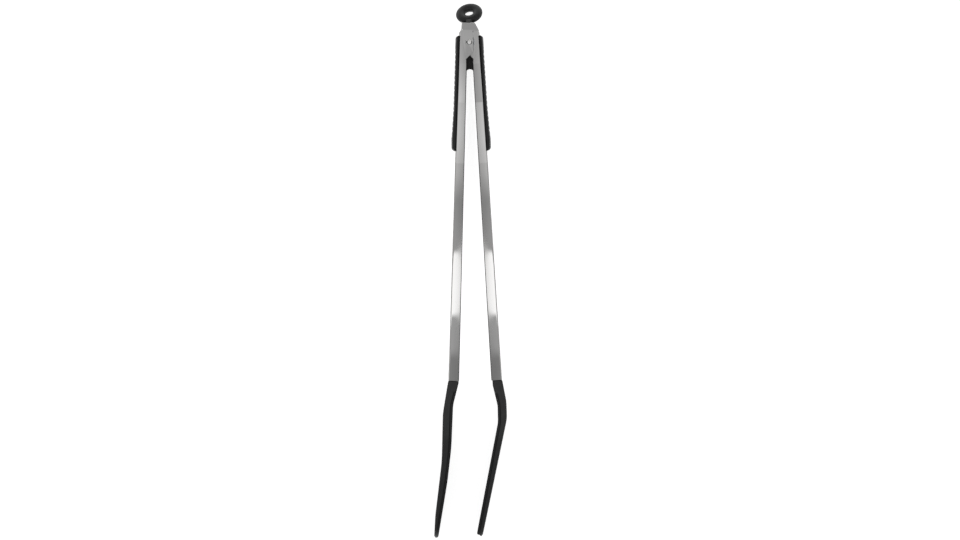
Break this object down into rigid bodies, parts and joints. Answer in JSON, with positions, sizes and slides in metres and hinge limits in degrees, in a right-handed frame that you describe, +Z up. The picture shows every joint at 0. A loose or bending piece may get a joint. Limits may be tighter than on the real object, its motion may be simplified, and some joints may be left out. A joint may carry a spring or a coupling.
{
  "type": "spring-loaded kitchen tongs",
  "caption": "Long steel kitchen tongs with a riveted hinge, soft grips, dark rounded heads, a slide lock and a rubber pull ring.",
  "frame": {"origin": "on the surface the tongs lie on, under the middle of the whole object", "axes": "+X to the right, +Y along the tongs towards the hinge and the pull ring, +Z up and parallel to the hinge rivet"},
  "size_m": [0.0616, 0.44, 0.036],
  "materials": {
    "steel": "satin brushed stainless steel",
    "rivet_steel": "polished stainless steel",
    "spring_steel": "bright drawn spring wire",
    "grip_rubber": "soft matte rubber",
    "ring_rubber": "soft matte rubber",
    "lock_nylon": "moulded black nylon",
    "shell_nylon": "moulded dark nylon",
    "pad_silicone": "moulded silicone",
    "washer_nylon": "natural nylon"
  },
  "bodies": {
    "hinge": {"pivot_rivet": "rivet_steel", "front_washer": "washer_nylon", "back_washer": "washer_nylon", "rivet_washer": "rivet_steel", "front_spring": "spring_steel", "back_spring": "spring_steel"},
    "left_arm": {"left_arm_channel": "steel", "left_grip": "grip_rubber", "left_grip_carrier": "lock_nylon", "left_head_shell": "shell_nylon", "left_head_pad": "pad_silicone", "left_head_rivets": "rivet_steel"},
    "right_arm": {"right_arm_channel": "steel", "right_grip": "grip_rubber", "right_grip_carrier": "lock_nylon", "right_head_shell": "shell_nylon", "right_head_pad": "pad_silicone", "right_head_rivets": "rivet_steel"},
    "lock": {"lock_slide": "lock_nylon", "ring_pin": "rivet_steel"},
    "ring": {"pull_ring": "ring_rubber"}
  },
  "joints": [
    {"name": "left_arm_closing", "type": "hinge", "parent": "hinge", "child": "left_arm", "pos_m": [0.00517, 0.18769, 0.018], "axis": [0, 0, 1], "range_deg": [0, 2.18], "stiffness_Nm_per_rad": 2, "springref_deg": -14.32},
    {"name": "right_arm_closing", "type": "hinge", "parent": "hinge", "child": "right_arm", "pos_m": [0.00517, 0.18769, 0.018], "axis": [0, 0, 1], "range_deg": [-2.18, 0]},
    {"name": "lock_travel", "type": "slide", "parent": "hinge", "child": "lock", "axis": [0, 1, 0], "range_m": [0, 0.007]},
    {"name": "ring_swing", "type": "hinge", "parent": "lock", "child": "ring", "pos_m": [0.00517, 0.20269, 0.018], "axis": [1, 0, 0], "range_deg": [0, 94]}
  ],
  "couplings": [
    {"joint": "right_arm_closing", "follows": "left_arm_closing", "ratio": -1}
  ]
}
